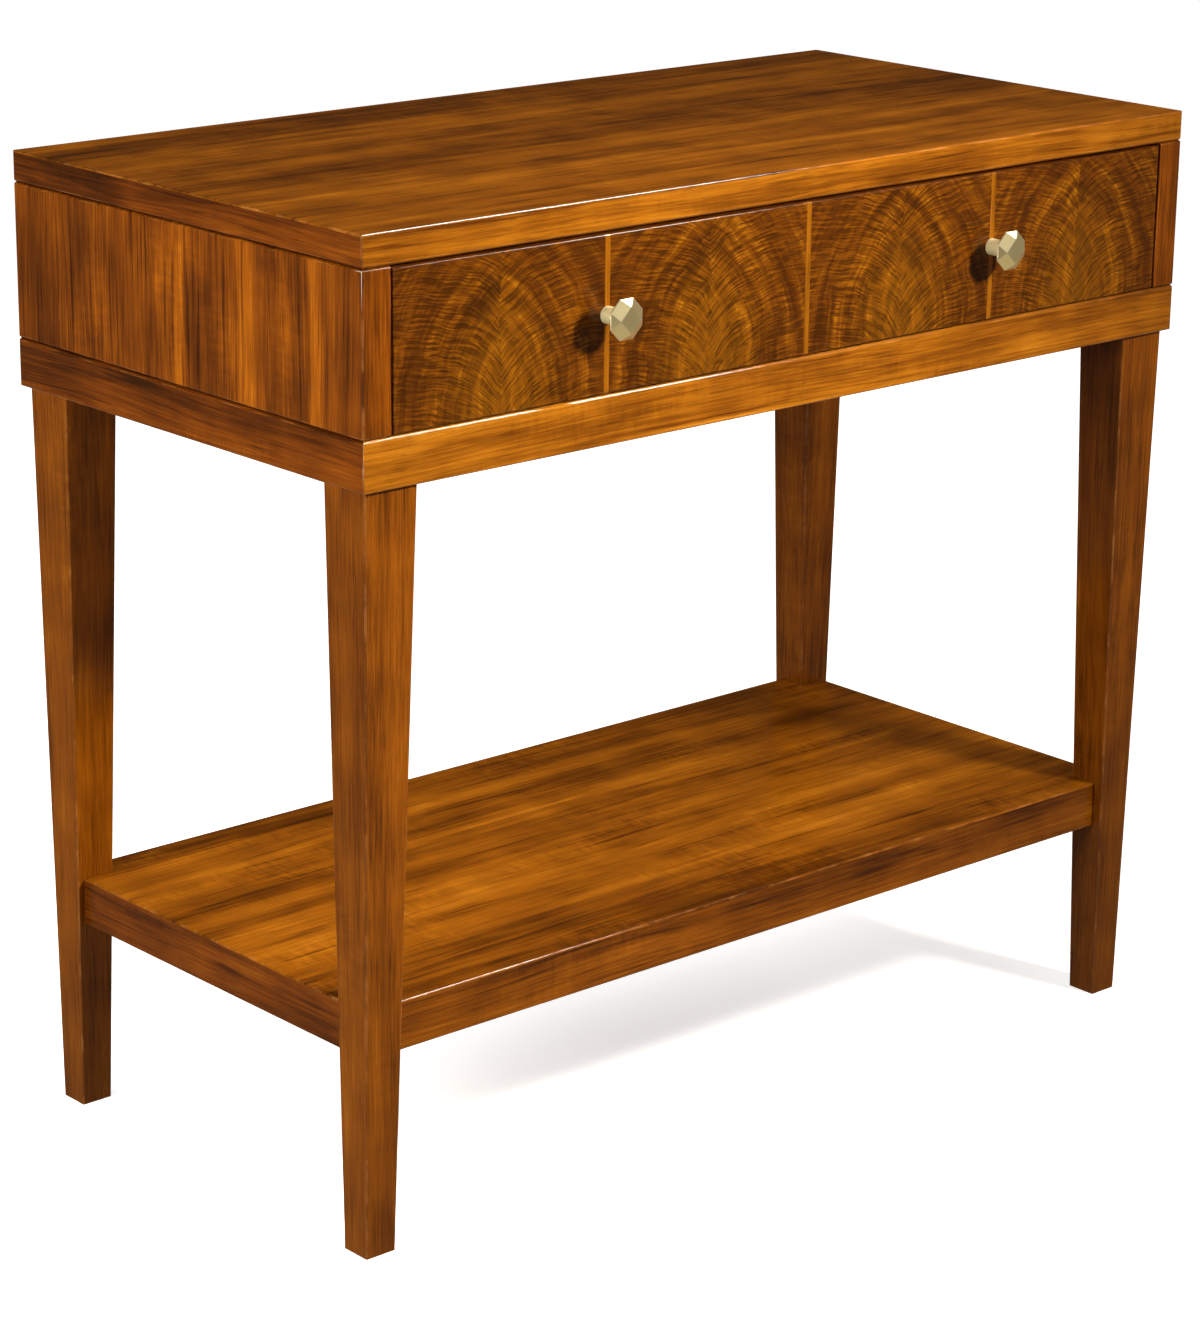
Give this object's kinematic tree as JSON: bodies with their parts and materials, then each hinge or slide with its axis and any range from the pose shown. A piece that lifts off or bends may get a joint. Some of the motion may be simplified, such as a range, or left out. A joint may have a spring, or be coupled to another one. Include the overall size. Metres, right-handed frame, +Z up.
{
  "type": "side table with drawer",
  "caption": "Rectangular wooden side table on square tapered legs, with one full-width veneered drawer with faceted brass knobs and a thick low shelf.",
  "frame": {"origin": "on the floor, under the middle of the whole outline with its knobs", "axes": "+X along the length, to the right as seen from the front; -Y towards the front, where the drawer opens; +Z up"},
  "size_m": [0.813, 0.431, 0.737],
  "materials": {
    "top_veneer": "gloss lacquer, grain along the length",
    "shelf_veneer": "gloss lacquer, grain along the length",
    "top_edge": "gloss lacquer, grain along each edge",
    "shelf_edge": "gloss lacquer, grain along each edge",
    "base_front": "gloss lacquer, grain along the rail",
    "base_side": "gloss lacquer, grain along the rail",
    "leg_wood": "gloss lacquer, grain along the leg",
    "side_veneer": "gloss lacquer, striped upright grain",
    "stile_wood": "gloss lacquer, upright grain",
    "crotch_veneer": "gloss lacquer, feather figured",
    "inlay_wood": "gloss lacquer, plain",
    "core_wood": "unfinished",
    "drawer_wood": "sealed matte",
    "plywood": "sealed matte",
    "dowel_wood": "unfinished",
    "knob_brass": "satin",
    "steel": "plated"
  },
  "bodies": {
    "carcass": {"top_veneer": "top_veneer", "shelf_veneer": "shelf_veneer", "top_lipping_front": "top_edge", "top_lipping_back": "top_edge", "top_lipping_left": "top_edge", "top_lipping_right": "top_edge", "shelf_lipping_front": "shelf_edge", "shelf_lipping_back": "shelf_edge", "shelf_lipping_left": "shelf_edge", "shelf_lipping_right": "shelf_edge", "base_rail_front": "base_front", "base_rail_back": "base_side", "base_rail_left": "base_side", "base_rail_right": "base_side", "leg_front_left": "leg_wood", "leg_front_right": "leg_wood", "leg_back_left": "leg_wood", "leg_back_right": "leg_wood", "side_panel_left": "side_veneer", "side_panel_right": "side_veneer", "back_panel": "side_veneer", "front_stile_left": "stile_wood", "front_stile_right": "stile_wood", "top_core": "core_wood", "shelf_core": "core_wood", "base_corner_blocks": "core_wood", "runner_left": "core_wood", "runner_right": "core_wood", "kicker_left": "core_wood", "kicker_right": "core_wood", "drawer_stops": "core_wood", "case_bottom": "plywood", "case_dowels": "dowel_wood", "shelf_dowels": "dowel_wood", "leg_screws": "steel", "top_screws": "steel"},
    "drawer": {"drawer_veneer_outer_left": "crotch_veneer", "drawer_veneer_inner_left": "crotch_veneer", "drawer_veneer_inner_right": "crotch_veneer", "drawer_veneer_outer_right": "crotch_veneer", "drawer_front_core": "core_wood", "drawer_side_left": "drawer_wood", "drawer_side_right": "drawer_wood", "drawer_back": "drawer_wood", "drawer_bottom": "plywood", "drawer_bottom_screws": "steel", "inlay_left": "inlay_wood", "inlay_centre": "inlay_wood", "inlay_right": "inlay_wood", "knob_left": "knob_brass", "knob_right": "knob_brass", "knob_screws": "steel"}
  },
  "joints": [
    {"name": "drawer_slide", "type": "slide", "parent": "carcass", "child": "drawer", "axis": [0, -1, 0], "range_m": [0, 0.26]}
  ]
}
